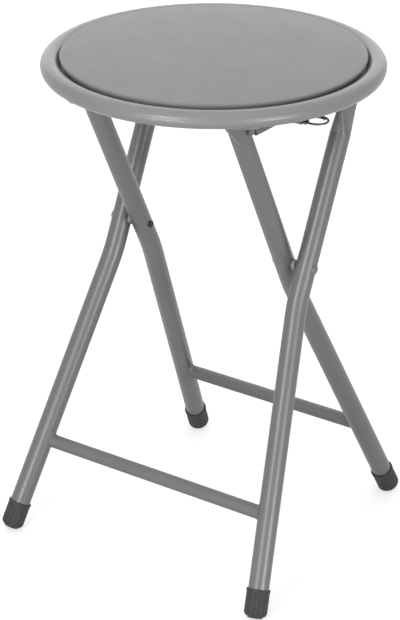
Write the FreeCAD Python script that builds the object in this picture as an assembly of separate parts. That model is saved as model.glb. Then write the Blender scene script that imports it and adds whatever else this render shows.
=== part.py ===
import FreeCAD, Part
import math
import os
from collections import namedtuple
from FreeCAD import Vector

# Folding stool: a round padded seat on two crossed pairs of tube legs.
# Millimetres. The origin is on the floor under the middle of the seat and +Z is up.
# The fold turns about X. The outer legs lean towards +Y and the inner legs towards -Y as they rise.

os.makedirs("parts", exist_ok=True)

# Whole stool
SEAT_DIAMETER = 300.0
RIM_HEIGHT = 448.6
PIVOT_HEIGHT = 280.4
PIVOT_Y = -1.4
HINGE_SETBACK = 46.0
ROD_SETBACK = 34.9

# Leg tubes
LEG_DIAMETER = 18.6
LEG_WALL = 1.2
LEG_INSET = 72.5
PIVOT_GAP = 3.9
INNER_SPREAD = 34.9
OUTER_SPREAD = 37.3
BEND_DROP = 32.0
BEND_RADIUS = 180.0
FLAT_THICKNESS = 5.0
FLAT_BELOW_HINGE = 14.0
FLAT_TRANSITION = 24.0
FLAT_EDGE_RADIUS = 2.2
INNER_TOP_GAP = 3.0

# Stretcher bars and the rod across the inner tops
BAR_DIAMETER = 12.5
BAR_WALL = 1.0
BAR_HEIGHT = 82.9
WELD_RADIUS = 3.0
WELD_TO_LEG = 0.02
ROD_DIAMETER = 8.0
ROD_DROP = 12.0

# Foot caps
FOOT_DIAMETER = 20.6
FOOT_LENGTH = 25.5
FOOT_LIP = 2.5
FOOT_LIP_RISE = 0.4
FOOT_FLUTES = 12
FLUTE_RADIUS = 1.6
FLUTE_DEPTH = 0.5
PLAIN_BAND = 4.0
FOOT_END_RADIUS = 4.5
SOLE_DIAMETER = 13.4
SOLE_STEP = 0.8
SOLE_PRESSED = 0.8
TUBE_STOP = 7.0

# Rim, a tube pressed slightly oval
RIM_WIDTH = 17.0
RIM_THICKNESS = 15.6
RIM_WALL = 1.2

# Board, pad and cover
BOARD_THICKNESS = 6.0
BOARD_RIM_GAP = 0.15
COVER_THICKNESS = 1.0
HEM_WIDTH = 23.0
PAD_INSET = 2.8
PAD_CROWN = 17.0
PAD_SIDE_BULGE = 1.0
PAD_SIDE_HEIGHT = 7.0
PAD_SHOULDER_WIDTH = 2.4
PAD_SHOULDER_DROP = 6.0
CROWN_SHARES = (1 / 2, 1 / 4)
SHOULDER_SHARES = (3 / 4, 1 / 4)
SIDE_SHARES = (2 / 3, 3 / 5)
STAPLES = 20
STAPLE_LENGTH = 10.0
STAPLE_WIDTH = 1.2
STAPLE_HEIGHT = 0.5

# Seat rails, bent from sheet
RAIL_SHEET = 2.5
RAIL_GAP_INSIDE = 0.4
RAIL_FLANGE = 20.0
RAIL_DEPTH = 18.7
RAIL_BEND_RADIUS = 3.0
PRONG_DEPTH = 23.0
PRONG_FRONT = 11.0
RAIL_CORNER = 3.0
RAIL_SHORT_OF_RIM = 1.5
EAR_RADIUS = 8.5
SCREW_DIAMETER = 4.0
SCREW_HEAD_DIAMETER = 8.0
SCREW_HEAD_HEIGHT = 2.2
SCREW_REACH = 5.0
SCREW_SPACING = 38.0
SCREWS_PER_RAIL = 3

# Seat hinge and frame pivot
HINGE_DROP = 17.0
RIVET_DIAMETER = 5.0
RIVET_HEAD_DIAMETER = 9.0
RIVET_HEAD_HEIGHT = 1.8
RIVET_TAIL_DIAMETER = 6.4
RIVET_TAIL_HEIGHT = 1.0
PIVOT_SPACER_DIAMETER = 9.6
HINGE_SPACER_DIAMETER = 13.0

# Safety catch on the right rail
CATCH_SHEET = 2.0
CATCH_BEHIND_ROD = 30.0
CATCH_DROP = 12.5
CATCH_RIVET_DIAMETER = 5.0
CATCH_HEAD_DIAMETER = 8.0
CATCH_HEAD_HEIGHT = 1.8
CATCH_BOSS_RADIUS = 5.5
NOSE_HEIGHT = 6.0
EYE_BEHIND_CATCH = 53.7
EYE_BELOW_CATCH = 16.0
EYE_RADIUS = 3.0
EYE_LENGTH = 4.0
LOOP_RADIUS = 8.5
LOOP_WIRE = 2.0
LOOP_TURN_DEG = 35.0
LOOP_START_DEG = 20.0
LOOP_OVERLAP_DEG = 60.0
LOOP_WIRE_GAP = 0.45

# Fits
RUNNING_FIT = 0.05
SIDE_CLEARANCE = 0.3
NOTCH_CLEARANCE = 0.4
REST_GAP = 0.5
CAP_FIT = 0.05
OVERRUN = 5.0

# Cosine under which a corner counts as straight on, and the part of a sheet that counts as touching
STRAIGHT_SHARE = 0.001
TOUCH_SHARE = 0.1

# Parts of the fold over which the rod leaves the front and the back flank of a hook
HOOK_SHARES = (0.01, 0.1)

LEG_RADIUS = LEG_DIAMETER / 2
SOLE_RADIUS = SOLE_DIAMETER / 2
BAR_RADIUS = BAR_DIAMETER / 2
ROD_RADIUS = ROD_DIAMETER / 2
RIVET_RADIUS = RIVET_DIAMETER / 2
INNER_TOP_X = SEAT_DIAMETER / 2 - LEG_INSET
OUTER_TOP_X = INNER_TOP_X + LEG_DIAMETER + PIVOT_GAP
INNER_FOOT_X = INNER_TOP_X + INNER_SPREAD
OUTER_FOOT_X = OUTER_TOP_X + OUTER_SPREAD
RIM_RADIUS = (SEAT_DIAMETER - RIM_WIDTH) / 2
RAIL_TOP = RIM_HEIGHT - RIM_THICKNESS / 2
INNER_TOP_HEIGHT = RAIL_TOP - INNER_TOP_GAP
ROD_HEIGHT = RAIL_TOP - ROD_DROP
HINGE_HEIGHT = RAIL_TOP - HINGE_DROP
RAIL_X = INNER_TOP_X + LEG_RADIUS + RAIL_GAP_INSIDE
CATCH_X = RAIL_X + RAIL_SHEET + SIDE_CLEARANCE
ROD_END_X = CATCH_X + CATCH_SHEET
RAIL_END = math.sqrt(RIM_RADIUS ** 2 - RAIL_X ** 2)
HINGE_Y = RAIL_END - HINGE_SETBACK
ROD_Y = ROD_SETBACK - RAIL_END
OUTER_LEAN_DEG = math.degrees(math.atan2(HINGE_Y - PIVOT_Y, HINGE_HEIGHT - PIVOT_HEIGHT))
INNER_LEAN_DEG = math.degrees(math.atan2(PIVOT_Y - ROD_Y, ROD_HEIGHT - PIVOT_HEIGHT))
CATCH_Y = ROD_Y + CATCH_BEHIND_ROD
CATCH_HEIGHT = RAIL_TOP - CATCH_DROP
FLAT_WIDTH = math.pi * (LEG_DIAMETER - FLAT_THICKNESS) / 2 + FLAT_THICKNESS
BOARD_RADIUS = RIM_RADIUS - RIM_WIDTH / 2 - BOARD_RIM_GAP - COVER_THICKNESS
PAD_RADIUS = BOARD_RADIUS + COVER_THICKNESS - PAD_INSET
HEM_RADIUS = BOARD_RADIUS - HEM_WIDTH
PAD_SHOULDER_RADIUS = PAD_RADIUS + PAD_SIDE_BULGE - PAD_SHOULDER_WIDTH
BOARD_BOTTOM = RAIL_TOP + COVER_THICKNESS
BOARD_TOP = BOARD_BOTTOM + BOARD_THICKNESS

Frame = namedtuple("Frame", "lean_deg top_x foot_x")
OUTER = Frame(OUTER_LEAN_DEG, OUTER_TOP_X, OUTER_FOOT_X)
INNER = Frame(-INNER_LEAN_DEG, INNER_TOP_X, INNER_FOOT_X)

X_AXIS = Vector(1, 0, 0)
Y_AXIS = Vector(0, 1, 0)
Z_AXIS = Vector(0, 0, 1)
ORIGIN = Vector(0, 0, 0)
EYE = Vector(CATCH_X + CATCH_SHEET / 2, CATCH_Y + EYE_BEHIND_CATCH, CATCH_HEIGHT - EYE_BELOW_CATCH)


# Leg geometry. Each pair of legs is drawn upright with its pivot at the origin, then leant over.

def along(frame, height):
    """Distance along the leaning plane from the pivot to a height above the floor."""
    return (height - PIVOT_HEIGHT) / math.cos(math.radians(frame.lean_deg))


def splay(frame):
    """Outward angle of the lower part of a leg, in radians."""
    return math.atan2(frame.foot_x - frame.top_x, -BEND_DROP - along(frame, 0))


def leg_x(frame, distance):
    """Half spread of the lower part of a pair of legs at a distance along the plane."""
    return frame.top_x + (-BEND_DROP - distance) * math.tan(splay(frame))


def lean(frame, shape):
    """Carry a shape from the upright drawing to its place on the stool."""
    placed = shape.copy()
    placed.rotate(ORIGIN, X_AXIS, -frame.lean_deg)
    placed.translate(Vector(0, PIVOT_Y, PIVOT_HEIGHT))
    return placed


def sole_above_floor(frame):
    """Distance along a leg from the floor to the middle of its sole, whose lower edge is pressed flat."""
    upright = math.cos(math.radians(frame.lean_deg)) * math.cos(splay(frame))
    return (SOLE_RADIUS * math.sqrt(1 - upright ** 2) - SOLE_PRESSED) / upright


# How far the stool folds, and how the rod leaves the rails

def fold_angles():
    """Closing angle of the frames and turning angle of the seat, in degrees."""
    reach = -along(OUTER, BAR_HEIGHT)
    still_open = math.degrees(math.asin((LEG_RADIUS + BAR_RADIUS + REST_GAP) / reach))
    frames = OUTER_LEAN_DEG + INNER_LEAN_DEG - still_open
    seat = 90 + OUTER_LEAN_DEG
    return frames, seat


def turned(y, z, degrees):
    """A point turned about X so that what lies towards -Y rises."""
    angle = math.radians(degrees)
    return y * math.cos(angle) + z * math.sin(angle), z * math.cos(angle) - y * math.sin(angle)


def rod_seen_from_seat(fold_share):
    """Place of the rod relative to the seat when the stool is folded by a share of its travel."""
    frames, seat = fold_angles()
    y, z = turned(ROD_Y - PIVOT_Y, ROD_HEIGHT - PIVOT_HEIGHT, frames * fold_share)
    y, z = turned(y + PIVOT_Y - HINGE_Y, z + PIVOT_HEIGHT - HINGE_HEIGHT, -seat * fold_share)
    return y + HINGE_Y, z + HINGE_HEIGHT


# Drawing helpers

def cylinder_x(radius, x_from, x_to, y, z):
    """Cylinder along X between two places."""
    return Part.makeCylinder(radius, x_to - x_from, Vector(x_from, y, z), X_AXIS)


def dome_x(radius, height, x, y, z, outward):
    """Round rivet head whose flat side is at x, bulging along outward times X."""
    ball = (radius * radius + height * height) / (2 * height)
    centre = x + outward * (height - ball)
    sphere = Part.makeSphere(ball, Vector(centre, y, z))
    low, high = sorted((x, x + outward * height))
    return sphere.common(cylinder_x(radius, low, high, y, z))


def rounded_wire(corners, x):
    """Closed wire at x through corners of y, z and corner radius."""
    stops = []
    for index, (y, z, radius) in enumerate(corners):
        here = Vector(x, y, z)
        before = Vector(x, corners[index - 1][0], corners[index - 1][1]) - here
        following = corners[(index + 1) % len(corners)]
        after = Vector(x, following[0], following[1]) - here
        before.normalize()
        after.normalize()
        half = before.getAngle(after) / 2
        if math.cos(half) < STRAIGHT_SHARE:
            stops.append((here, here, here))
            continue
        step = radius / math.tan(half)
        middle = before + after
        middle.normalize()
        middle = here + middle * (radius / math.sin(half) - radius)
        stops.append((here + before * step, middle, here + after * step))
    edges = []
    for index, (start, middle, end) in enumerate(stops):
        edges.append(Part.LineSegment(stops[index - 1][2], start).toShape())
        if (end - start).Length > 0:
            edges.append(Part.Arc(start, middle, end).toShape())
    return Part.Wire(edges)


def plate(corners, x, thickness):
    """Flat plate in the YZ plane from x to x plus its thickness."""
    return Part.Face(rounded_wire(corners, x)).extrude(Vector(thickness, 0, 0))


def mirrored(shape):
    return shape.mirror(ORIGIN, X_AXIS)


def export(name, shape):
    """Write one node; a group of separate solids stays a compound."""
    shape.exportStep(os.path.join("parts", name + ".step"))


def sided(name, shape):
    """Write a right-hand node and its mirror image."""
    export(name + "_right", shape)
    export(name + "_left", mirrored(shape))


# Legs, drawn upright in the XZ plane with the pivot at the origin

def leg_path(frame, top):
    """Centre line of the right leg: splayed foot, one wide bend, then upright to the top."""
    angle = splay(frame)
    tangent = BEND_RADIUS * math.tan(angle / 2)
    foot = Vector(frame.foot_x, 0, along(frame, 0))
    upward = Vector(-math.sin(angle), 0, math.cos(angle))
    corner = Vector(frame.top_x, 0, -BEND_DROP)
    bend_start = corner - upward * tangent
    bend_end = corner + Z_AXIS * tangent
    centre = bend_end + X_AXIS * BEND_RADIUS
    bend_middle = centre - Vector(math.cos(angle / 2), 0, math.sin(angle / 2)) * BEND_RADIUS
    start = foot + upward * (sole_above_floor(frame) + TUBE_STOP)
    return Part.Wire([
        Part.LineSegment(start, bend_start).toShape(),
        Part.Arc(bend_start, bend_middle, bend_end).toShape(),
        Part.LineSegment(bend_end, Vector(frame.top_x, 0, top)).toShape(),
    ])


def swept(path, radius):
    """Round bar along a path."""
    first = path.OrderedEdges[0]
    start = first.valueAt(first.FirstParameter)
    heading = first.tangentAt(first.FirstParameter)
    profile = Part.Wire([Part.Circle(start, heading, radius).toShape()])
    return path.makePipeShell([profile], True, True)


def leg_tube(frame, top):
    path = leg_path(frame, top)
    return swept(path, LEG_RADIUS).cut(swept(path, LEG_RADIUS - LEG_WALL))


def tube_section(x, distance):
    """Circle of the leg in eight arcs, for the start of the flattening."""
    return section(x, distance, LEG_RADIUS * math.cos(math.pi / 8), LEG_RADIUS * math.cos(math.pi / 8),
                   LEG_RADIUS * math.sin(math.pi / 8), LEG_RADIUS * math.sin(math.pi / 8), LEG_RADIUS)


def section(x, distance, reach_x, reach_y, flat_x, flat_y, bulge):
    """Eight-edged section: four sides and four rounded corners, bulged to a circle where asked."""
    points = [(reach_x, -flat_y), (reach_x, flat_y), (flat_x, reach_y), (-flat_x, reach_y),
              (-reach_x, flat_y), (-reach_x, -flat_y), (-flat_x, -reach_y), (flat_x, -reach_y)]
    edges = []
    for index, (x1, y1) in enumerate(points):
        x2, y2 = points[(index + 1) % len(points)]
        start = Vector(x + x1, y1, distance)
        end = Vector(x + x2, y2, distance)
        if bulge:
            middle = Vector((x1 + x2) / 2, (y1 + y2) / 2, 0)
            middle.normalize()
            edges.append(Part.Arc(start, Vector(x, 0, distance) + middle * bulge, end).toShape())
        elif index % 2:
            side_x = math.copysign(flat_x, x1 + x2)
            side_y = math.copysign(flat_y, y1 + y2)
            out = Vector(x1 + x2 - 2 * side_x, y1 + y2 - 2 * side_y, 0)
            out.normalize()
            corner = Vector(x + side_x, side_y, distance)
            edges.append(Part.Arc(start, corner + out * (reach_x - flat_x), end).toShape())
        else:
            edges.append(Part.LineSegment(start, end).toShape())
    return Part.Wire(edges)


def pressed_section(x, distance):
    """Outline of a flattened tube top."""
    half = FLAT_THICKNESS / 2
    width = FLAT_WIDTH / 2
    return section(x, distance, half, width, half - FLAT_EDGE_RADIUS, width - FLAT_EDGE_RADIUS, 0)


def pressed_tube(frame, round_end, flat_start):
    """Leg tube with the neck that leads to its flattened top."""
    neck = Part.makeLoft([tube_section(frame.top_x, round_end), pressed_section(frame.top_x, flat_start)],
                         True, False)
    return leg_tube(frame, round_end), neck


def outer_leg():
    """Outer leg: a tube whose top is pressed flat and rounded off round the seat hinge."""
    hinge = along(OUTER, HINGE_HEIGHT)
    flat_start = hinge - FLAT_BELOW_HINGE
    tube, neck = pressed_tube(OUTER, flat_start - FLAT_TRANSITION, flat_start)
    half = FLAT_THICKNESS / 2
    width = FLAT_WIDTH / 2
    tongue = Part.makeBox(FLAT_THICKNESS, FLAT_WIDTH, hinge - flat_start,
                          Vector(OUTER_TOP_X - half, -width, flat_start))
    tongue = tongue.fuse(cylinder_x(width, OUTER_TOP_X - half, OUTER_TOP_X + half, 0, hinge)).removeSplitter()
    rim = [edge for edge in tongue.Edges if not is_across_or_below(edge, flat_start)]
    tongue = tongue.makeFillet(FLAT_EDGE_RADIUS, rim)
    body = tube.fuse([neck, tongue])
    body = body.cut(cylinder_x(RIVET_RADIUS + RUNNING_FIT, OUTER_TOP_X - LEG_RADIUS - OVERRUN,
                               OUTER_TOP_X + LEG_RADIUS + OVERRUN, 0, 0))
    body = body.cut(cylinder_x(RIVET_RADIUS + RUNNING_FIT, OUTER_TOP_X - LEG_RADIUS,
                               OUTER_TOP_X + LEG_RADIUS, 0, hinge))
    return lean(OUTER, body)


def is_across_or_below(edge, level):
    """True for the tongue's edges that run across its thickness or lie on its lower end."""
    box = edge.BoundBox
    small = FLAT_THICKNESS * TOUCH_SHARE
    return box.XLength > small or box.ZMax < level + small


def inner_leg():
    """Inner leg: a tube cut off level under the seat, with holes for the pivot rivet and the rod."""
    body = leg_tube(INNER, along(INNER, INNER_TOP_HEIGHT + LEG_DIAMETER))
    body = body.cut(cylinder_x(RIVET_RADIUS + RUNNING_FIT, INNER_TOP_X - LEG_RADIUS - OVERRUN,
                               INNER_TOP_X + LEG_RADIUS + OVERRUN, 0, 0))
    body = body.cut(cylinder_x(ROD_RADIUS + RUNNING_FIT, INNER_TOP_X - LEG_RADIUS - OVERRUN,
                               INNER_TOP_X + LEG_RADIUS + OVERRUN, 0, along(INNER, ROD_HEIGHT)))
    body = lean(INNER, body)
    above = Part.makeBox(SEAT_DIAMETER, SEAT_DIAMETER, SEAT_DIAMETER,
                         Vector(0, -SEAT_DIAMETER, INNER_TOP_HEIGHT))
    return body.cut(above)


def crossbar(frame):
    """Stretcher between the two legs of a pair, coped to them, with a hollow weld round each end."""
    distance = along(frame, BAR_HEIGHT)
    reach = leg_x(frame, distance)
    leg = swept(leg_path(frame, 0), LEG_RADIUS)
    joined = cylinder_x(BAR_RADIUS, -reach, reach, 0, distance).fuse([leg, mirrored(leg)])
    seams = [edge for edge in joined.Edges if is_seam(edge, reach, distance)]
    joined = joined.makeFillet(WELD_RADIUS, seams)
    solid_leg = swept(leg_path(frame, 0), LEG_RADIUS + WELD_TO_LEG)
    joined = joined.cut([solid_leg, mirrored(solid_leg)])
    joined = joined.cut(cylinder_x(BAR_RADIUS - BAR_WALL, -reach, reach, 0, distance))
    middle = [solid for solid in joined.Solids if abs(solid.CenterOfMass.x) < LEG_RADIUS]
    return lean(frame, middle[0])


def is_seam(edge, reach, distance):
    """True for the curves along which a stretcher meets its legs."""
    box = edge.BoundBox
    beside_leg = min(abs(box.XMin), abs(box.XMax)) > reach - 2 * LEG_RADIUS
    on_bar = box.ZMin > distance - BAR_DIAMETER and box.ZMax < distance + BAR_DIAMETER
    return beside_leg and on_bar and box.YLength > BAR_RADIUS * TOUCH_SHARE


def top_rod():
    """Rod through the tops of the inner legs; its ends lie in the hooks of the rails."""
    return cylinder_x(ROD_RADIUS, -ROD_END_X, ROD_END_X, ROD_Y, ROD_HEIGHT)


# Feet

def foot_cap(frame):
    """Fluted cap on a leg end, square to the leg, rounded off to a small sole that stands on its edge."""
    radius = FOOT_DIAMETER / 2
    body = Part.makeCylinder(radius, FOOT_LENGTH - SOLE_STEP, Vector(0, 0, SOLE_STEP))
    lower = [edge for edge in body.Edges if edge.BoundBox.ZMax < SOLE_STEP + FOOT_END_RADIUS]
    body = body.makeFillet(FOOT_END_RADIUS, lower)
    lip = Part.makeCylinder(radius + FOOT_LIP_RISE, FOOT_LIP, Vector(0, 0, FOOT_LENGTH - FOOT_LIP))
    lip = lip.makeFillet(FOOT_LIP_RISE, lip.Edges)
    sole = Part.makeCylinder(SOLE_RADIUS, TUBE_STOP)
    cap = body.cut(flutes(radius)).fuse([lip, sole])
    cap = cap.cut(Part.makeCylinder(LEG_RADIUS + CAP_FIT, FOOT_LENGTH, Vector(0, 0, TUBE_STOP)))
    return above_floor(set_on_foot(frame, cap.removeSplitter()))


def flutes(radius):
    """Grooves along a foot cap, between its rounded end and its plain upper band."""
    length = FOOT_LENGTH - PLAIN_BAND - FOOT_END_RADIUS
    reach = radius + FLUTE_RADIUS - FLUTE_DEPTH
    grooves = []
    for index in range(FOOT_FLUTES):
        turn = 2 * math.pi * (index + 1 / 2) / FOOT_FLUTES
        place = Vector(reach * math.cos(turn), reach * math.sin(turn), FOOT_END_RADIUS)
        grooves.append(Part.makeCylinder(FLUTE_RADIUS, length, place))
    return grooves


def set_on_foot(frame, shape):
    """Turn a shape drawn along Z so that it stands along the right foot."""
    placed = shape.copy()
    placed.translate(Vector(0, 0, sole_above_floor(frame)))
    placed.rotate(ORIGIN, Y_AXIS, -math.degrees(splay(frame)))
    placed.translate(Vector(frame.foot_x, 0, along(frame, 0)))
    return lean(frame, placed)


def above_floor(shape):
    box = shape.BoundBox
    return shape.common(Part.makeBox(box.XLength + 2 * OVERRUN, box.YLength + 2 * OVERRUN, box.ZMax + OVERRUN,
                                     Vector(box.XMin - OVERRUN, box.YMin - OVERRUN, 0)))


# Pivots between the frames

def pivot_rivet():
    """Domed rivet through both legs; its heads are hollowed to sit on the round tubes."""
    outside = OUTER_TOP_X + LEG_RADIUS
    inside = INNER_TOP_X - LEG_RADIUS - SIDE_CLEARANCE
    seat_depth = LEG_RADIUS - math.sqrt(LEG_RADIUS ** 2 - (RIVET_HEAD_DIAMETER / 2) ** 2)
    head = dome_x(RIVET_HEAD_DIAMETER / 2, RIVET_HEAD_HEIGHT, outside, 0, 0, 1)
    head = head.fuse(cylinder_x(RIVET_HEAD_DIAMETER / 2, outside - seat_depth, outside, 0, 0))
    head = head.cut(Part.makeCylinder(LEG_RADIUS, 2 * RIVET_HEAD_DIAMETER,
                                      Vector(OUTER_TOP_X, 0, -RIVET_HEAD_DIAMETER), Z_AXIS))
    tail = cylinder_x(RIVET_TAIL_DIAMETER / 2, inside - RIVET_TAIL_HEIGHT, inside, 0, 0)
    shank = cylinder_x(RIVET_RADIUS, inside - RIVET_TAIL_HEIGHT, outside, 0, 0)
    return lean(OUTER, head.fuse([tail, shank]).removeSplitter())


def ring_x(outer, bore, x_from, x_to, y, z):
    """Spacer ring along X."""
    return cylinder_x(outer, x_from, x_to, y, z).cut(cylinder_x(bore, x_from, x_to, y, z))


def pivot_spacer():
    """Spacer on the pivot rivet, between the two legs."""
    return ring_x(PIVOT_SPACER_DIAMETER / 2, RIVET_RADIUS + RUNNING_FIT,
                  INNER_TOP_X + LEG_RADIUS + SIDE_CLEARANCE, OUTER_TOP_X - LEG_RADIUS, PIVOT_Y, PIVOT_HEIGHT)


def hinge_rivet():
    """Rivet through the flattened top of the outer leg, on which the rail turns."""
    outside = OUTER_TOP_X + FLAT_THICKNESS / 2
    inside = RAIL_X - SIDE_CLEARANCE
    head = dome_x(RIVET_HEAD_DIAMETER / 2, RIVET_HEAD_HEIGHT, outside, HINGE_Y, HINGE_HEIGHT, 1)
    tail = cylinder_x(RIVET_TAIL_DIAMETER / 2, inside - RIVET_TAIL_HEIGHT, inside, HINGE_Y, HINGE_HEIGHT)
    shank = cylinder_x(RIVET_RADIUS, inside - RIVET_TAIL_HEIGHT, outside, HINGE_Y, HINGE_HEIGHT)
    return head.fuse([tail, shank]).removeSplitter()


def hinge_spacer():
    """Spacer between the rail and the flattened top of the outer leg."""
    return ring_x(HINGE_SPACER_DIAMETER / 2, RIVET_RADIUS + RUNNING_FIT, RAIL_X + RAIL_SHEET + SIDE_CLEARANCE,
                  OUTER_TOP_X - FLAT_THICKNESS / 2, HINGE_Y, HINGE_HEIGHT)


# Seat

def rim():
    """Rim: an oval tube bent to a ring."""
    return oval_ring(0).cut(oval_ring(RIM_WALL))


def oval_ring(inset):
    """Solid ring with the rim's oval section, made smaller all round by an inset."""
    middle = Vector(RIM_RADIUS, 0, RIM_HEIGHT)
    side = middle + X_AXIS * (RIM_WIDTH / 2 - inset)
    top = middle + Z_AXIS * (RIM_THICKNESS / 2 - inset)
    oval = Part.Wire([Part.Ellipse(side, top, middle).toShape()])
    return Part.Face(oval).revolve(ORIGIN, Z_AXIS, 360)


def disc(radius, thickness, height):
    return Part.makeCylinder(radius, thickness, Vector(0, 0, height))


def between(start, end, shares):
    """Point on the way from start to end, by a share of the way along X and one along Z."""
    across, up = shares
    return Vector(start.x + (end.x - start.x) * across, 0, start.z + (end.z - start.z) * up)


def pad(inset):
    """Pad with its crown, rounded shoulder and drawn-in side, made smaller all round by an inset."""
    base = PAD_RADIUS - inset
    side = base + PAD_SIDE_BULGE
    crown = BOARD_TOP + PAD_CROWN - inset
    shoulder = Vector(PAD_SHOULDER_RADIUS, 0, crown - PAD_SHOULDER_DROP)
    widest = Vector(side, 0, BOARD_TOP + PAD_SIDE_HEIGHT)
    top = Vector(0, 0, crown)
    foot = Vector(base, 0, BOARD_TOP)
    middle = Vector(0, 0, BOARD_TOP)
    outline = Part.Wire([
        Part.Arc(top, between(top, shoulder, CROWN_SHARES), shoulder).toShape(),
        Part.Arc(shoulder, between(shoulder, widest, SHOULDER_SHARES), widest).toShape(),
        Part.Arc(widest, between(widest, foot, SIDE_SHARES), foot).toShape(),
        Part.LineSegment(foot, middle).toShape(),
        Part.LineSegment(middle, top).toShape(),
    ])
    return Part.Face(outline).revolve(ORIGIN, Z_AXIS, 360)


def board():
    """Board under the pad, with the holes of the rail screws."""
    return disc(BOARD_RADIUS, BOARD_THICKNESS, BOARD_BOTTOM).cut(screw_shanks(RUNNING_FIT))


def cover():
    """Skin over the pad, drawn round the board and turned under it in a hem."""
    skirt = disc(BOARD_RADIUS + COVER_THICKNESS, BOARD_TOP + COVER_THICKNESS - RAIL_TOP, RAIL_TOP)
    outside = pad(0).fuse(skirt)
    inside = pad(COVER_THICKNESS).fuse([
        disc(BOARD_RADIUS, BOARD_THICKNESS, BOARD_BOTTOM),
        disc(HEM_RADIUS, COVER_THICKNESS, RAIL_TOP),
    ])
    return outside.cut([inside] + screw_shanks(RUNNING_FIT)).removeSplitter()


def staples():
    """Staples across the hem, left out where a rail lies on it."""
    radius = (HEM_RADIUS + BOARD_RADIUS) / 2
    group = []
    for index in range(STAPLES):
        turn = 360 * index / STAPLES
        near_x = abs(radius * math.cos(math.radians(turn)))
        if RAIL_X - STAPLE_LENGTH < near_x < RAIL_X + RAIL_FLANGE + STAPLE_LENGTH / 2:
            continue
        staple = Part.makeBox(STAPLE_WIDTH, STAPLE_LENGTH, STAPLE_HEIGHT,
                              Vector(radius - STAPLE_WIDTH / 2, -STAPLE_LENGTH / 2, RAIL_TOP - STAPLE_HEIGHT))
        staple.rotate(ORIGIN, Z_AXIS, turn)
        group.append(staple)
    return Part.makeCompound(group)


def screw_places():
    """X and Y of each rail screw, in the middle of the flange."""
    across = RAIL_X + (RAIL_SHEET + RAIL_FLANGE) / 2
    for side in (1, -1):
        for index in range(SCREWS_PER_RAIL):
            yield side * across, (index - (SCREWS_PER_RAIL - 1) / 2) * SCREW_SPACING


def screw_shanks(clearance):
    """Shanks from the underside of the flange up into the board."""
    low = RAIL_TOP - RAIL_SHEET
    length = RAIL_SHEET + COVER_THICKNESS + SCREW_REACH
    return [Part.makeCylinder(SCREW_DIAMETER / 2 + clearance, length, Vector(x, y, low))
            for x, y in screw_places()]


def rail_screws():
    """Pan-head screws from below, through the rails into the board."""
    group = []
    for (x, y), shank in zip(screw_places(), screw_shanks(0)):
        low = RAIL_TOP - RAIL_SHEET - SCREW_HEAD_HEIGHT
        head = Part.makeCylinder(SCREW_HEAD_DIAMETER / 2, SCREW_HEAD_HEIGHT, Vector(x, y, low))
        underside = [edge for edge in head.Edges if edge.BoundBox.ZMax < low + SCREW_HEAD_HEIGHT / 2]
        head = head.makeFillet(SCREW_HEAD_HEIGHT / 2, underside)
        group.append(head.fuse(shank))
    return Part.makeCompound(group)


def notch():
    """Space that the rod sweeps as it leaves the hook: one flank each way from its seat."""
    radius = ROD_RADIUS + NOTCH_CLEARANCE
    seat = Vector(0, ROD_Y, ROD_HEIGHT)
    headings = []
    for share in HOOK_SHARES:
        y, z = rod_seen_from_seat(share)
        heading = Vector(0, y, z) - seat
        heading.normalize()
        headings.append(heading)
    front, back = headings
    front_side = Vector(0, front.z, -front.y) * radius
    back_side = Vector(0, -back.z, back.y) * radius
    reach = PRONG_DEPTH + OVERRUN
    corners = [seat + front_side, seat + front_side + front * reach, seat + back_side + back * reach,
               seat + back_side]
    face = Part.Face(Part.makePolygon(corners + corners[:1]))
    face.translate(Vector(RAIL_X - OVERRUN, 0, 0))
    thickness = RAIL_SHEET + 2 * OVERRUN
    mouth = face.extrude(Vector(thickness, 0, 0))
    return mouth.fuse(cylinder_x(radius, RAIL_X - OVERRUN, RAIL_X - OVERRUN + thickness, ROD_Y, ROD_HEIGHT))


def rail(with_catch):
    """Rail under the board: a bent angle with a hooked front end and an ear round the seat hinge."""
    depth = RAIL_TOP - RAIL_DEPTH
    prong = RAIL_TOP - PRONG_DEPTH
    end = RAIL_END
    front = ROD_Y - PRONG_FRONT
    web = plate([
        (-end, RAIL_TOP, 0),
        (front, prong, RAIL_CORNER),
        (ROD_Y + ROD_DIAMETER, prong, RAIL_CORNER / 2),
        (ROD_Y + ROD_DIAMETER + RAIL_CORNER, depth, RAIL_CORNER / 2),
        (-front, depth, RAIL_CORNER),
        (end, RAIL_TOP, 0),
    ], RAIL_X, RAIL_SHEET)
    ear = cylinder_x(EAR_RADIUS, RAIL_X, RAIL_X + RAIL_SHEET, HINGE_Y, HINGE_HEIGHT)
    flange = Part.makeBox(RAIL_FLANGE, 2 * end, RAIL_SHEET, Vector(RAIL_X, -end, RAIL_TOP - RAIL_SHEET))
    angle = web.fuse([ear, flange]).removeSplitter()
    bend = [edge for edge in angle.Edges if is_bend(edge)]
    angle = angle.makeFillet(RAIL_BEND_RADIUS, bend)
    angle = angle.common(disc(RIM_RADIUS - RAIL_SHORT_OF_RIM, RAIL_TOP, 0))
    angle = angle.cut(notch())
    angle = angle.cut(cylinder_x(RIVET_RADIUS + RUNNING_FIT, RAIL_X - OVERRUN, RAIL_X + RAIL_SHEET + OVERRUN,
                                 HINGE_Y, HINGE_HEIGHT))
    angle = angle.cut(screw_shanks(RUNNING_FIT))
    if with_catch:
        angle = angle.cut(cylinder_x(CATCH_RIVET_DIAMETER / 2 + RUNNING_FIT, RAIL_X - OVERRUN,
                                     RAIL_X + RAIL_SHEET + OVERRUN, CATCH_Y, CATCH_HEIGHT))
    return angle


def is_bend(edge):
    """True for the outer edge along which the rail's sheet is bent."""
    box = edge.BoundBox
    small = RAIL_SHEET * TOUCH_SHARE
    return box.XMax < RAIL_X + small and box.ZMin > RAIL_TOP - small and box.YLength > RIM_RADIUS


# Safety catch

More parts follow.
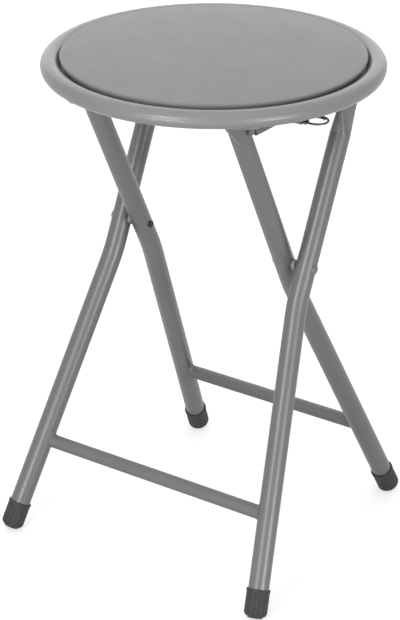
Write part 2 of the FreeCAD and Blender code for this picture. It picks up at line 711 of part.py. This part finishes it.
def loop_heading(degrees):
    """Level unit vector; zero points outward and along the rail, where the loop hangs."""
    turn = math.radians(LOOP_TURN_DEG + degrees)
    return Vector(math.cos(turn), math.sin(turn), 0)


def catch_lever():
    """Lever on the right rail: its nose stands behind the rod and its tail carries the finger loop."""
    nose = ROD_Y + ROD_RADIUS + 2 * NOTCH_CLEARANCE
    lean_back = NOSE_HEIGHT / 2
    outline = plate([
        (nose + lean_back, ROD_HEIGHT - NOSE_HEIGHT, LOOP_WIRE / 2),
        (CATCH_Y + 2 * CATCH_BOSS_RADIUS, CATCH_HEIGHT - CATCH_BOSS_RADIUS, CATCH_BOSS_RADIUS),
        (EYE.y - 2 * LOOP_RADIUS, EYE.z + EYE_RADIUS, LOOP_RADIUS),
        (EYE.y - LOOP_RADIUS, EYE.z - EYE_RADIUS / 3, EYE_RADIUS),
        (EYE.y + EYE_RADIUS / 2, EYE.z - EYE_RADIUS / 2, EYE_RADIUS / 3),
        (EYE.y + EYE_RADIUS / 2, EYE.z + EYE_RADIUS / 2, EYE_RADIUS / 3),
        (CATCH_Y + 2 * CATCH_BOSS_RADIUS, CATCH_HEIGHT + CATCH_BOSS_RADIUS / 2, LOOP_RADIUS),
        (CATCH_Y + CATCH_BOSS_RADIUS / 2, CATCH_HEIGHT + CATCH_BOSS_RADIUS, CATCH_BOSS_RADIUS / 2),
        (CATCH_Y - CATCH_BOSS_RADIUS / 2, CATCH_HEIGHT + CATCH_BOSS_RADIUS, CATCH_BOSS_RADIUS / 2),
        (nose, ROD_HEIGHT, LOOP_WIRE / 2),
    ], CATCH_X, CATCH_SHEET)
    across = loop_heading(90)
    eye = Part.makeCylinder(EYE_RADIUS, EYE_LENGTH, EYE - across * (EYE_LENGTH / 2), across)
    bend = LOOP_RADIUS - math.sqrt(LOOP_RADIUS ** 2 - (EYE_LENGTH / 2) ** 2)
    bore = Part.makeCylinder(LOOP_WIRE / 2 + bend + RUNNING_FIT, EYE_LENGTH + 2 * OVERRUN,
                             EYE - across * (EYE_LENGTH / 2 + OVERRUN), across)
    lever = outline.fuse(eye).cut(bore)
    return lever.cut(cylinder_x(CATCH_RIVET_DIAMETER / 2 + RUNNING_FIT, CATCH_X - OVERRUN,
                                CATCH_X + CATCH_SHEET + OVERRUN, CATCH_Y, CATCH_HEIGHT))


def catch_loop():
    """Finger loop: one round of wire whose outer end lies beside its start."""
    step = LOOP_WIRE + LOOP_WIRE_GAP
    centre = EYE + loop_heading(0) * LOOP_RADIUS
    shifted = centre - loop_heading(LOOP_START_DEG) * (-step / 2)
    stretches = [(centre, LOOP_RADIUS, LOOP_START_DEG, 180),
                 (shifted, LOOP_RADIUS + step / 2, LOOP_START_DEG + 180, 180),
                 (centre, LOOP_RADIUS + step, LOOP_START_DEG, LOOP_OVERLAP_DEG)]
    edges = []
    for middle, radius, start, turn in stretches:
        points = [middle + loop_heading(start + turn * share) * radius for share in (0, 1 / 2, 1)]
        edges.append(Part.Arc(*points).toShape())
    return swept(Part.Wire(edges), LOOP_WIRE / 2)


def catch_rivet():
    """Rivet that carries the catch on the rail."""
    inside = RAIL_X
    outside = CATCH_X + CATCH_SHEET + SIDE_CLEARANCE
    head = dome_x(CATCH_HEAD_DIAMETER / 2, CATCH_HEAD_HEIGHT, outside, CATCH_Y, CATCH_HEIGHT, 1)
    tail = cylinder_x(CATCH_HEAD_DIAMETER / 2, inside - RIVET_TAIL_HEIGHT, inside, CATCH_Y, CATCH_HEIGHT)
    shank = cylinder_x(CATCH_RIVET_DIAMETER / 2, inside - RIVET_TAIL_HEIGHT, outside, CATCH_Y, CATCH_HEIGHT)
    return head.fuse([tail, shank]).removeSplitter()


sided("outer_leg", outer_leg())
sided("inner_leg", inner_leg())
export("outer_crossbar", crossbar(OUTER))
export("inner_crossbar", crossbar(INNER))
export("inner_top_rod", top_rod())
sided("outer_foot", foot_cap(OUTER))
sided("inner_foot", foot_cap(INNER))
sided("pivot_rivet", pivot_rivet())
sided("pivot_spacer", pivot_spacer())
sided("hinge_rivet", hinge_rivet())
sided("hinge_spacer", hinge_spacer())
export("seat_ring", rim())
export("seat_board", board())
export("seat_foam", pad(COVER_THICKNESS))
export("seat_cover", cover())
export("cover_staples", staples())
export("seat_rail_right", rail(True))
export("seat_rail_left", mirrored(rail(False)))
export("rail_screws", rail_screws())
export("catch_lever", catch_lever())
export("catch_loop", catch_loop())
export("catch_rivet", catch_rivet())

frames_deg, seat_deg = fold_angles()
print("frames close by", round(frames_deg, 3), "and the seat turns by", round(seat_deg, 3))
print("ratio", round(seat_deg / frames_deg, 5), "hinge at y", round(HINGE_Y, 3), "rod at y", round(ROD_Y, 3))
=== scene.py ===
import math

import bmesh
import bpy
from mathutils import Matrix, Vector, noise
from mathutils.bvhtree import BVHTree


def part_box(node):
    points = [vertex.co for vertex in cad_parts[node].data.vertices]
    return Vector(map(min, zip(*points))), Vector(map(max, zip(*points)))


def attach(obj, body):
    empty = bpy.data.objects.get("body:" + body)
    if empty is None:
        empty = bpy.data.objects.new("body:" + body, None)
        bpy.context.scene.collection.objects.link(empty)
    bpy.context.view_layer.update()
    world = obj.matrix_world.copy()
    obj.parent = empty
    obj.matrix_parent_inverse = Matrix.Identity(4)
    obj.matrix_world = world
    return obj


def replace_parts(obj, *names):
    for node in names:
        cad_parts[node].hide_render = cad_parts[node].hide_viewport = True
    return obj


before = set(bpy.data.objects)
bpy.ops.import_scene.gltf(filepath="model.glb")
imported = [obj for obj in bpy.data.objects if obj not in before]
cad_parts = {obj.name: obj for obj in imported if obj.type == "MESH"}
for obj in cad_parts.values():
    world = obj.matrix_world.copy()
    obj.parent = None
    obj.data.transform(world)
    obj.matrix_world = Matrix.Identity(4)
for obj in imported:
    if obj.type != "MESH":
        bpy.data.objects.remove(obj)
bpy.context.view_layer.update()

# Sizes of the seat in metres, from the frame where it has them
BOARD_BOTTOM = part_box("seat_board")[0][2]
BOARD_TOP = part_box("seat_board")[1][2]
RING_WIDTH = 0.017
RING_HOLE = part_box("seat_ring")[1][0] - RING_WIDTH

PAD_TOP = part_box("seat_cover")[1][2]
PAD_OVER_RING = 0.0004
PAD_SIDE_RADIUS = RING_HOLE + PAD_OVER_RING
PAD_SIDE_HEIGHT = 0.0084
PAD_DRAWN_IN = 0.0049
PAD_BASE_RADIUS = PAD_SIDE_RADIUS - PAD_DRAWN_IN
PAD_MIDDLE_RADIUS = 0.07
PAD_SHOULDER_WIDTH = 0.0014
PAD_SHOULDER_DROP = 0.0066
PAD_SIDE_BOW = 0.0004
PAD_SHOULDER_BOW = 0.0005
CROWN_POWER = 2.6
PAD_SEGMENTS = 160
SIDE_STEPS = 4
SHOULDER_STEPS = 6
CROWN_STEPS = 24

COVER_THICKNESS = 0.001
SKIRT_INTO_RING = 0.00005
SKIRT_RADIUS = RING_HOLE + SKIRT_INTO_RING
SKIRT_RISE = 0.001
SKIRT_TOP = BOARD_TOP + SKIRT_RISE
CORNER_RISE = 0.0004
SKIRT_BOTTOM = BOARD_BOTTOM + CORNER_RISE
HEM_CORNER = 0.0014
HEM_RADIUS = 0.109
HEM_GAP = 0.0001
HEM_EDGE = BOARD_BOTTOM - HEM_GAP
HEM_SEGMENTS = 480
HEM_STEPS = 10
PLEATS = 46
PLEAT_DEPTH = 0.0007
PLEAT_DRIFT = 5
PLEAT_NOISE_RADIUS = 9
PLEAT_NOISE_HEIGHT = 0.3
PLEAT_START_STEPS = 4
EDGE_WANDER = 0.0012

# Cloth simulation of the pad's top. It fades out before the top's edge.
VOXEL = 0.004
PRESSURE = 4.0
FRAMES = 20
PAD_BULGE = 0.0012
MOST_MOVE = 0.006
SMOOTH_ROUNDS = 3
CLOTH_RADIUS = 0.112
CLOTH_FADE = 0.012


# Materials. Every one takes its coordinates from the object, so noise scales are per metre.

# A mix node's colour sockets share their names with its other sockets, so they go by number.
MIX_SHARE = 0
MIX_FIRST = 6
MIX_SECOND = 7
MIX_RESULT = 2

# Depths of bumps, in metres
ORANGE_PEEL = 0.000008
PAINT_SPECKS = 0.000002
ZINC_GRAIN = 0.00002
VINYL_WAVES = 0.0003
VINYL_GRAIN = 0.00008
VINYL_SPECKS = 0.00001
RUBBER_GRAIN = 0.00004
PLASTIC_GRAIN = 0.00002
RIVET_GRAIN = 0.00003
WOOD_GRAIN = 0.0001

FLUTE_SHADE_REACH = 0.003
RIVET_HEAD_FROM = 0.1
RIVET_BLEND = 0.0001


def set_inputs(node, **values):
    """Set a node's inputs, named with _ for a space."""
    for name, value in values.items():
        node.inputs[name.replace("_", " ")].default_value = value


def add_node(tree, kind, **values):
    node = tree.nodes.new("ShaderNode" + kind)
    set_inputs(node, **values)
    return node


class Look:
    """A material's node tree with its shader."""

    def __init__(self, name):
        self.material = bpy.data.materials.new(name)
        self.material.use_nodes = True
        self.tree = self.material.node_tree
        self.shader = self.tree.nodes["Principled BSDF"]
        self.place = self.add("TexCoord").outputs["Object"]

    def add(self, kind, **values):
        return add_node(self.tree, kind, **values)

    def link(self, output, socket):
        self.tree.links.new(output, socket)

    def noise(self, scale, detail, stretch=(1, 1, 1)):
        mapping = self.add("Mapping", Scale=stretch)
        self.link(self.place, mapping.inputs["Vector"])
        node = self.add("TexNoise", Scale=scale, Detail=detail)
        self.link(mapping.outputs["Vector"], node.inputs["Vector"])
        return node.outputs["Fac"]

    def cells(self, scale):
        node = self.add("TexVoronoi", Scale=scale)
        node.feature = "SMOOTH_F1"
        self.link(self.place, node.inputs["Vector"])
        return node.outputs["Distance"]

    def hollow_shade(self, reach):
        """Mask for painted shade: 1 in narrow recesses and 0 in the open."""
        node = self.add("AmbientOcclusion", Distance=reach)
        node.samples = 8
        return self.between(node.outputs["AO"], 1, 0, source=(0.45, 0.85))

    def beyond(self, reach):
        """1 further than the reach from the middle in X, and 0 nearer."""
        split = self.add("SeparateXYZ")
        self.link(self.place, split.inputs["Vector"])
        away = self.add("Math")
        away.operation = "ABSOLUTE"
        self.link(split.outputs["X"], away.inputs[0])
        return self.between(away.outputs[0], 0, 1, source=(reach, reach + RIVET_BLEND))

    def between(self, value, low, high, source=(0.3, 0.7)):
        """The value taken from its source range to low and high, and held at the ends."""
        node = self.add("MapRange", From_Min=source[0], From_Max=source[1], To_Min=low, To_Max=high)
        self.link(value, node.inputs["Value"])
        return node.outputs["Result"]

    def mixed(self, share, first, second):
        node = self.add("Mix")
        node.data_type = "RGBA"
        self.link(share, node.inputs[MIX_SHARE])
        for number, colour in ((MIX_FIRST, first), (MIX_SECOND, second)):
            if isinstance(colour, tuple):
                node.inputs[number].default_value = (*colour, 1)
            else:
                self.link(colour, node.inputs[number])
        return node.outputs[MIX_RESULT]

    def colour(self, output):
        self.link(output, self.shader.inputs["Base Color"])

    def rough(self, value, low, high):
        self.link(self.between(value, low, high), self.shader.inputs["Roughness"])

    def bump(self, *layers):
        """Bump from pairs of height and depth in metres, the last on top."""
        normal = None
        for height, depth in layers:
            node = self.add("Bump", Distance=depth)
            self.link(height, node.inputs["Height"])
            if normal:
                self.link(normal, node.inputs["Normal"])
            normal = node.outputs["Normal"]
        self.link(normal, self.shader.inputs["Normal"])

    def plain(self, **values):
        set_inputs(self.shader, **values)


def shade(colour, factor):
    return tuple(min(1, channel * factor) for channel in colour)


def paint(name, colour, metallic, rough, gloss):
    """Satin stoved paint: faint orange peel, slow changes of tone and a few fine scuffs."""
    look = Look(name)
    drift = look.between(look.noise(scale=9, detail=3), 0, 1)
    tone = look.mixed(drift, shade(colour, 0.96), shade(colour, 1.04))
    scuffs = look.noise(scale=140, detail=6, stretch=(1, 1, 0.25))
    scuffed = look.between(scuffs, 0, 0.35, source=(0.72, 0.84))
    look.colour(look.mixed(scuffed, tone, shade(colour, 1.12)))
    look.rough(look.noise(scale=260, detail=3), rough - 0.02, rough + 0.03)
    look.bump((look.noise(scale=300, detail=1), ORANGE_PEEL),
              (look.noise(scale=2600, detail=2), PAINT_SPECKS))
    look.plain(Metallic=metallic, Specular_IOR_Level=gloss)
    return look.material


def steel(name, colour, rough):
    """Zinc-plated steel with a crystalline bloom."""
    look = Look(name)
    bloom = look.between(look.cells(scale=700), 0, 1, source=(0.1, 0.7))
    look.colour(look.mixed(bloom, shade(colour, 0.9), shade(colour, 1.1)))
    look.rough(look.noise(scale=500, detail=4), rough - 0.06, rough + 0.08)
    look.bump((look.noise(scale=1500, detail=4), ZINC_GRAIN))
    look.plain(Metallic=1.0)
    return look.material


def vinyl(name, colour):
    """Matte upholstery vinyl with a fine leather grain and painted shade in the grain's pits."""
    look = Look(name)
    drift = look.between(look.noise(scale=14, detail=4), 0, 1)
    tone = look.mixed(drift, shade(colour, 0.97), shade(colour, 1.03))
    grain = look.cells(scale=900)
    # Painted shade: the grain's pits are darkened a little.
    painted_pit_shade = look.between(grain, 0.25, 0, source=(0, 0.35))
    look.colour(look.mixed(painted_pit_shade, tone, shade(colour, 0.85)))
    look.rough(look.noise(scale=60, detail=4), 0.52, 0.60)
    look.bump((look.noise(scale=35, detail=2), VINYL_WAVES), (grain, VINYL_GRAIN),
              (look.noise(scale=3500, detail=2), VINYL_SPECKS))
    look.plain(Sheen_Weight=0.05, Sheen_Roughness=0.5)
    return look.material


def rubber(name, colour):
    """Moulded rubber, a little dusty on the ribs, with painted shade that turns the flutes black."""
    look = Look(name)
    dust = look.between(look.noise(scale=180, detail=5), 0, 0.35, source=(0.5, 0.75))
    dusty = look.mixed(dust, colour, shade(colour, 1.6))
    # Painted shade: the flutes are darkened to near black where the surface is hemmed in.
    look.colour(look.mixed(look.hollow_shade(FLUTE_SHADE_REACH), dusty, shade(colour, 0.1)))
    look.rough(look.noise(scale=300, detail=3), 0.55, 0.72)
    look.bump((look.noise(scale=1200, detail=3), RUBBER_GRAIN))
    return look.material


def plastic(name, colour):
    """Moulded plastic with a faint spark-eroded grain."""
    look = Look(name)
    look.colour(look.mixed(look.noise(scale=80, detail=3), shade(colour, 0.94), shade(colour, 1.05)))
    look.rough(look.noise(scale=400, detail=3), 0.24, 0.34)
    look.bump((look.noise(scale=2200, detail=3), PLASTIC_GRAIN))
    return look.material


def rivet(name, head, tail):
    """Rivet with a painted head far out in X and a dark tail, whose colour is given per rivet."""
    look = Look(name)
    outer = look.beyond(RIVET_HEAD_FROM)
    tone = look.mixed(look.noise(scale=400, detail=3), shade(tail, 0.85), shade(tail, 1.2))
    look.colour(look.mixed(outer, tone, head))
    look.link(look.between(outer, 0.85, 0.3, source=(0, 1)), look.shader.inputs["Metallic"])
    look.rough(look.noise(scale=260, detail=3), 0.36, 0.44)
    look.bump((look.noise(scale=900, detail=3), RIVET_GRAIN))
    return look.material


def plywood(name, colour):
    """Plywood underside: long grain along X and darker pores."""
    look = Look(name)
    grain = look.noise(scale=260, detail=6, stretch=(0.05, 1, 1))
    pores = look.noise(scale=900, detail=4, stretch=(0.04, 1, 1))
    tone = look.mixed(look.between(grain, 0, 1), shade(colour, 0.78), shade(colour, 1.12))
    pored = look.between(pores, 0, 0.7, source=(0.60, 0.75))
    look.colour(look.mixed(pored, tone, shade(colour, 0.45)))
    look.rough(grain, 0.55, 0.7)
    look.bump((grain, WOOD_GRAIN))
    return look.material


LEG_GREY = (0.178, 0.178, 0.183)
LEG_PAINT = paint("leg_paint_look", LEG_GREY, metallic=0.2, rough=0.34, gloss=0.5)
BAR_PAINT = paint("bar_paint_look", (0.185, 0.185, 0.19), metallic=0.1, rough=0.5, gloss=0.4)
# The ring's paint is the legs' grey made lighter: painted light, for the light that falls on the ring from
# above.
LIT_RIM_PAINT = paint("rim_paint_lit_look", (0.26, 0.264, 0.269), metallic=0.12, rough=0.34, gloss=0.5)
# The pivot rivets' near-black tail is painted shade: it stands in for the dark hollow of the rivet's end.
PIVOT_RIVET = rivet("pivot_rivet_look", LEG_GREY, (0.03, 0.03, 0.032))
HINGE_RIVET = rivet("hinge_rivet_look", LEG_GREY, (0.1, 0.1, 0.105))
ZINC = steel("zinc_look", (0.55, 0.55, 0.56), rough=0.35)
DARK_STEEL = steel("catch_look", (0.13, 0.13, 0.135), rough=0.36)
VINYL = vinyl("vinyl_look", (0.266, 0.266, 0.256))
RUBBER = rubber("foot_look", (0.032, 0.032, 0.033))
SPACER = plastic("spacer_look", (0.3, 0.3, 0.3))
WOOD = plywood("board_look", (0.50, 0.36, 0.22))

LOOKS = {
    LEG_PAINT: ["outer_leg_right", "outer_leg_left", "inner_leg_right", "inner_leg_left",
                "seat_rail_right", "seat_rail_left", "inner_top_rod"],
    BAR_PAINT: ["outer_crossbar", "inner_crossbar"],
    LIT_RIM_PAINT: ["seat_ring"],
    PIVOT_RIVET: ["pivot_rivet_right", "pivot_rivet_left"],
    HINGE_RIVET: ["hinge_rivet_right", "hinge_rivet_left"],
    ZINC: ["rail_screws", "cover_staples", "catch_rivet"],
    DARK_STEEL: ["catch_lever", "catch_loop"],
    RUBBER: ["outer_foot_right", "outer_foot_left", "inner_foot_right", "inner_foot_left"],
    SPACER: ["pivot_spacer_right", "pivot_spacer_left", "hinge_spacer_right", "hinge_spacer_left"],
    WOOD: ["seat_board"],
}


def dress(obj, material):
    obj.data.materials.clear()
    obj.data.materials.append(material)


for material, names in LOOKS.items():
    for name in names:
        dress(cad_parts[name], material)


# Meshes

def add_object(name, mesh):
    obj = bpy.data.objects.new(name, mesh)
    bpy.context.scene.collection.objects.link(obj)
    return obj


def around(radius, angle, height):
    return radius * math.cos(angle), radius * math.sin(angle), height


def skin(name, rings):
    """Mesh over rings of places. A ring of one place is a pole."""
    draft = bmesh.new()
    rows = [[draft.verts.new(place) for place in ring] for ring in rings]
    for low, high in zip(rows, rows[1:]):
        count = max(len(low), len(high))
        for index in range(count):
            after = (index + 1) % count
            corners = [low[index % len(low)], low[after % len(low)],
                       high[after % len(high)], high[index % len(high)]]
            draft.faces.new(list(dict.fromkeys(corners)))
    bmesh.ops.recalc_face_normals(draft, faces=draft.faces)
    mesh = bpy.data.meshes.new(name)
    draft.to_mesh(mesh)
    draft.free()
    return mesh


def bow(start, end, depth, steps):
    """Points from start to end along a curve that stands out to the right of the way by a depth."""
    along = Vector(end) - Vector(start)
    out = Vector((along.y, -along.x)).normalized() * depth
    points = []
    for step in range(steps + 1):
        share = step / steps
        points.append(tuple(Vector(start) + along * share + out * (4 * share * (1 - share))))
    return points


def apply_modifiers(obj):
    """Replace an object's mesh by what its modifiers make of it."""
    evaluated = obj.evaluated_get(bpy.context.evaluated_depsgraph_get())
    mesh = bpy.data.meshes.new_from_object(evaluated)
    obj.modifiers.clear()
    obj.data = mesh


def remesh(obj):
    modifier = obj.modifiers.new("remesh", "REMESH")
    modifier.mode = "VOXEL"
    modifier.voxel_size = VOXEL
    apply_modifiers(obj)


def smooth(obj):
    modifier = obj.modifiers.new("smooth", "SMOOTH")
    modifier.factor = 0.5
    modifier.iterations = SMOOTH_ROUNDS
    apply_modifiers(obj)


def subdivide(obj):
    modifier = obj.modifiers.new("subdivision", "SUBSURF")
    modifier.levels = 1
    apply_modifiers(obj)


def shade_smooth(obj):
    for face in obj.data.polygons:
        face.use_smooth = True


# Seat pad

def pad_rings():
    """Rings from the underside's middle round the drawn-in side and the shoulder to the crown."""
    base = (PAD_BASE_RADIUS, BOARD_TOP)
    side = (PAD_SIDE_RADIUS, BOARD_TOP + PAD_SIDE_HEIGHT)
    shoulder = (PAD_SIDE_RADIUS - PAD_SHOULDER_WIDTH, PAD_TOP - PAD_SHOULDER_DROP)
    profile = [(0, BOARD_TOP), (PAD_MIDDLE_RADIUS, BOARD_TOP)]
    profile += bow(base, side, PAD_SIDE_BOW, SIDE_STEPS)
    profile += bow(side, shoulder, PAD_SHOULDER_BOW, SHOULDER_STEPS)[1:]
    crown = PAD_TOP - PAD_BULGE
    for step in range(1, CROWN_STEPS + 1):
        share = 1 - step / CROWN_STEPS
        fall = (crown - shoulder[1]) * share ** CROWN_POWER
        profile.append((shoulder[0] * share, crown - fall))
    rings = []
    for radius, height in profile:
        count = PAD_SEGMENTS if radius else 1
        rings.append([around(radius, 2 * math.pi * index / PAD_SEGMENTS, height) for index in range(count)])
    return rings


def inflate(obj):
    """Blow the pad's top up as cloth, held along its side and where it sits on the board."""
    held = obj.vertex_groups.new(name="held")
    edge = BOARD_TOP + PAD_SIDE_HEIGHT
    held.add([vertex.index for vertex in obj.data.vertices if vertex.co.z < edge], 1.0, "ADD")
    start = [vertex.co.copy() for vertex in obj.data.vertices]
    cloth = obj.modifiers.new("cloth", "CLOTH")
    cloth.settings.use_pressure = True
    cloth.settings.uniform_pressure_force = PRESSURE
    cloth.settings.effector_weights.gravity = 0
    cloth.settings.vertex_group_mass = held.name
    cloth.point_cache.frame_start = 1
    cloth.point_cache.frame_end = FRAMES
    for number in range(1, FRAMES + 1):
        bpy.context.scene.frame_set(number)
    apply_modifiers(obj)
    bpy.context.scene.frame_set(1)
    limit_moves(obj.data.vertices, start)


def limit_moves(vertices, start):
    """Scale the moves from the start to the bulge that is wanted, and cap them."""
    moves = [vertex.co - before for vertex, before in zip(vertices, start)]
    share = min(1, PAD_BULGE / max(move.z for move in moves))
    for vertex, before, move in zip(vertices, start, moves):
        move *= share
        if move.length > MOST_MOVE:
            move = move.normalized() * MOST_MOVE
        vertex.co = before + move


def take_crown(pad, cloth):
    """Raise the pad's top to the simulated cloth, fading out before its edge."""
    faces = [tuple(face.vertices) for face in cloth.data.polygons]
    tree = BVHTree.FromPolygons([vertex.co for vertex in cloth.data.vertices], faces)
    for vertex in pad.data.vertices:
        place = vertex.co
        share = min(1, 1 - (math.hypot(place.x, place.y) - CLOTH_RADIUS) / CLOTH_FADE)
        if share > 0 and place.z > BOARD_TOP + PAD_SIDE_HEIGHT:
            hit = tree.ray_cast(Vector((place.x, place.y, 1)), Vector((0, 0, -1)))[0]
            place.z += (min(hit.z, PAD_TOP) - place.z) * share


def make_pad():
    pad = add_object("seat_pad", skin("seat_pad", pad_rings()))
    cloth = add_object("pad_cloth", pad.data.copy())
    remesh(cloth)
    inflate(cloth)
    smooth(cloth)
    take_crown(pad, cloth)
    bpy.data.objects.remove(cloth)
    subdivide(pad)
    shade_smooth(pad)
    dress(pad, VINYL)
    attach(pad, "seat")
    return pad


# Hem of the cover

def hem_outline():
    """Half section of the cover below the pad: down the board's edge, then in under it."""
    corner = SKIRT_RADIUS - HEM_CORNER
    underside = BOARD_BOTTOM - COVER_THICKNESS
    outline = [(PAD_BASE_RADIUS - COVER_THICKNESS, SKIRT_TOP), (SKIRT_RADIUS - COVER_THICKNESS, SKIRT_TOP),
               (SKIRT_RADIUS, SKIRT_TOP - COVER_THICKNESS), (SKIRT_RADIUS, SKIRT_BOTTOM)]
    corner_place = len(outline)
    for step in range(HEM_STEPS + 1):
        outline.append((corner + (HEM_RADIUS - corner) * step / HEM_STEPS, underside))
    outline.append((HEM_RADIUS, HEM_EDGE))
    return outline, corner_place


def hem_rings():
    """The outline all round, gathered in small pleats under the board, with an uneven edge."""
    outline, corner_place = hem_outline()
    edge_place = len(outline) - 1
    rings = []
    for place, (radius, height) in enumerate(outline):
        gathered = min(1, max(0, (place - corner_place) / PLEAT_START_STEPS)) if place < edge_place else 0
        wander = EDGE_WANDER if place >= edge_place - 1 else 0
        ring = []
        for index in range(HEM_SEGMENTS):
            angle = 2 * math.pi * index / HEM_SEGMENTS
            drift = noise.noise(Vector(around(PLEAT_NOISE_RADIUS, angle, PLEAT_NOISE_HEIGHT)))
            fold = 0.5 + 0.5 * math.sin(angle * PLEATS + PLEAT_DRIFT * drift)
            lift = gathered * PLEAT_DEPTH * fold ** 3
            ring.append(around(radius + wander * drift, angle, height + lift))
        rings.append(ring)
    return rings


def make_hem():
    """Vinyl drawn down over the board's edge and turned under it."""
    hem = add_object("cover_hem", skin("cover_hem", hem_rings()))
    shade_smooth(hem)
    dress(hem, VINYL)
    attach(hem, "seat")


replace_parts(make_pad(), "seat_foam", "seat_cover")
make_hem()


# Floor, world, lamps and camera

FLOOR_REACH = 6.0
FLOOR_COLOUR = 0.75
FLOOR_BOUNCE_COLOUR = 0.16
FLOOR_GLOW_NEAR = 0.55
FLOOR_GLOW_FAR = 0.72
GLOW_NEAR_RADIUS = 0.8
GLOW_FAR_RADIUS = 2.5
WORLD_LIGHT = 0.42
WORLD_WHITE = 1.0

LAMP_TARGET = (0, 0, 0.3)
RING_FRONT = (0.05, -0.14, 0.44)
RING_RIGHT = (0.1, -0.09, 0.44)

CAMERA_TARGET = (0, -0.0198, 0.2194)
CAMERA_AZIMUTH = 34.983
CAMERA_ELEVATION = 25.112
CAMERA_ROLL = 0.113
CAMERA_DISTANCE = 2.1242
FOCAL_PIXELS = 2360
IMAGE_PIXELS = 620
SENSOR_WIDTH = 36


def grey(value):
    return value, value, value, 1


def seen_directly(tree):
    """1 for what the camera, a mirror or clear glass sees, 0 for light that bounces on."""
    path = add_node(tree, "LightPath")
    seen = path.outputs["Is Camera Ray"]
    for other in ("Is Glossy Ray", "Is Transmission Ray"):
        either = add_node(tree, "Math")
        either.operation = "MAXIMUM"
        tree.links.new(seen, either.inputs[0])
        tree.links.new(path.outputs[other], either.inputs[1])
        seen = either.outputs[0]
    return seen


def chosen(tree, unseen, seen):
    """One shader for light that bounces on and another for what is seen directly."""
    mix = add_node(tree, "MixShader")
    tree.links.new(seen_directly(tree), mix.inputs[0])
    tree.links.new(unseen.outputs[0], mix.inputs[1])
    tree.links.new(seen.outputs[0], mix.inputs[2])
    return mix.outputs[0]


def floor_glow(tree):
    """Light of the floor's own, stronger far off, where the lamps don't reach."""
    place = add_node(tree, "TexCoord")
    away = add_node(tree, "VectorMath")
    away.operation = "LENGTH"
    tree.links.new(place.outputs["Object"], away.inputs[0])
    spread = add_node(tree, "MapRange", From_Min=GLOW_NEAR_RADIUS, From_Max=GLOW_FAR_RADIUS,
                      To_Min=FLOOR_GLOW_NEAR, To_Max=FLOOR_GLOW_FAR)
    tree.links.new(away.outputs["Value"], spread.inputs["Value"])
    glow = add_node(tree, "Emission")
    tree.links.new(spread.outputs["Result"], glow.inputs["Strength"])
    return glow


def make_floor():
    low, high = -FLOOR_REACH, FLOOR_REACH
    corners = [(low, low, 0), (high, low, 0), (high, high, 0), (low, high, 0)]
    mesh = bpy.data.meshes.new("floor")
    mesh.from_pydata(corners, [], [(0, 1, 2, 3)])
    floor = add_object("floor", mesh)
    material = bpy.data.materials.new("floor_look")
    material.use_nodes = True
    tree = material.node_tree
    tree.nodes.clear()
    matt = add_node(tree, "BsdfDiffuse", Color=grey(FLOOR_COLOUR))
    dull = add_node(tree, "BsdfDiffuse", Color=grey(FLOOR_BOUNCE_COLOUR))
    both = add_node(tree, "AddShader")
    tree.links.new(matt.outputs[0], both.inputs[0])
    tree.links.new(floor_glow(tree).outputs[0], both.inputs[1])
    output = add_node(tree, "OutputMaterial")
    tree.links.new(chosen(tree, dull, both), output.inputs["Surface"])
    dress(floor, material)


def make_world():
    world = bpy.data.worlds.new("world")
    bpy.context.scene.world = world
    world.use_nodes = True
    tree = world.node_tree
    tree.nodes.clear()
    light = add_node(tree, "Background", Color=grey(1), Strength=WORLD_LIGHT)
    white = add_node(tree, "Background", Color=grey(1), Strength=WORLD_WHITE)
    output = add_node(tree, "OutputWorld")
    tree.links.new(chosen(tree, light, white), output.inputs["Surface"])


def looking(target, azimuth, elevation, distance, roll=0):
    """Matrix that looks at a target along -Z. Azimuth turns from the front to the right, in degrees."""
    turn = Matrix.Rotation(math.radians(azimuth), 4, "Z")
    turn = turn @ Matrix.Rotation(math.radians(90 - elevation), 4, "X")
    turn = turn @ Matrix.Rotation(math.radians(roll), 4, "Z")
    return Matrix.Translation(target) @ turn @ Matrix.Translation((0, 0, distance))


def make_lamp(name, power, size, azimuth, elevation, distance, target=LAMP_TARGET):
    data = bpy.data.lights.new(name, "AREA")
    data.shape = "RECTANGLE"
    data.size, data.size_y = size
    data.energy = power
    lamp = add_object(name, data)
    lamp.matrix_world = looking(target, azimuth, elevation, distance)
    lamp.visible_camera = False


def make_camera():
    """The photograph's viewing angle. The lens is given by the photograph's longer side in pixels."""
    data = bpy.data.cameras.new("camera")
    data.sensor_width = SENSOR_WIDTH
    data.lens = SENSOR_WIDTH * FOCAL_PIXELS / IMAGE_PIXELS
    camera = add_object("camera", data)
    camera.matrix_world = looking(CAMERA_TARGET, CAMERA_AZIMUTH, CAMERA_ELEVATION, CAMERA_DISTANCE,
                                  CAMERA_ROLL)
    bpy.context.scene.camera = camera


make_floor()
make_world()
make_lamp("top", power=22, size=(4, 4), azimuth=180, elevation=85.6, distance=2.61)
make_lamp("back_left", power=50, size=(5, 4), azimuth=-144, elevation=24.5, distance=4.1)
make_lamp("front_strip", power=12, size=(0.35, 0.6), azimuth=5, elevation=24, distance=2.3)
make_lamp("right_strip", power=3.6, size=(0.3, 0.5), azimuth=70, elevation=12, distance=2.3)
make_lamp("front_low_strip", power=6, size=(0.5, 0.18), azimuth=4, elevation=-13.4, distance=1.4,
          target=RING_FRONT)
make_lamp("right_low_strip", power=6, size=(0.4, 0.22), azimuth=73, elevation=-10.6, distance=1.52,
          target=RING_RIGHT)
make_camera()
bpy.context.scene.view_settings.view_transform = "Standard"
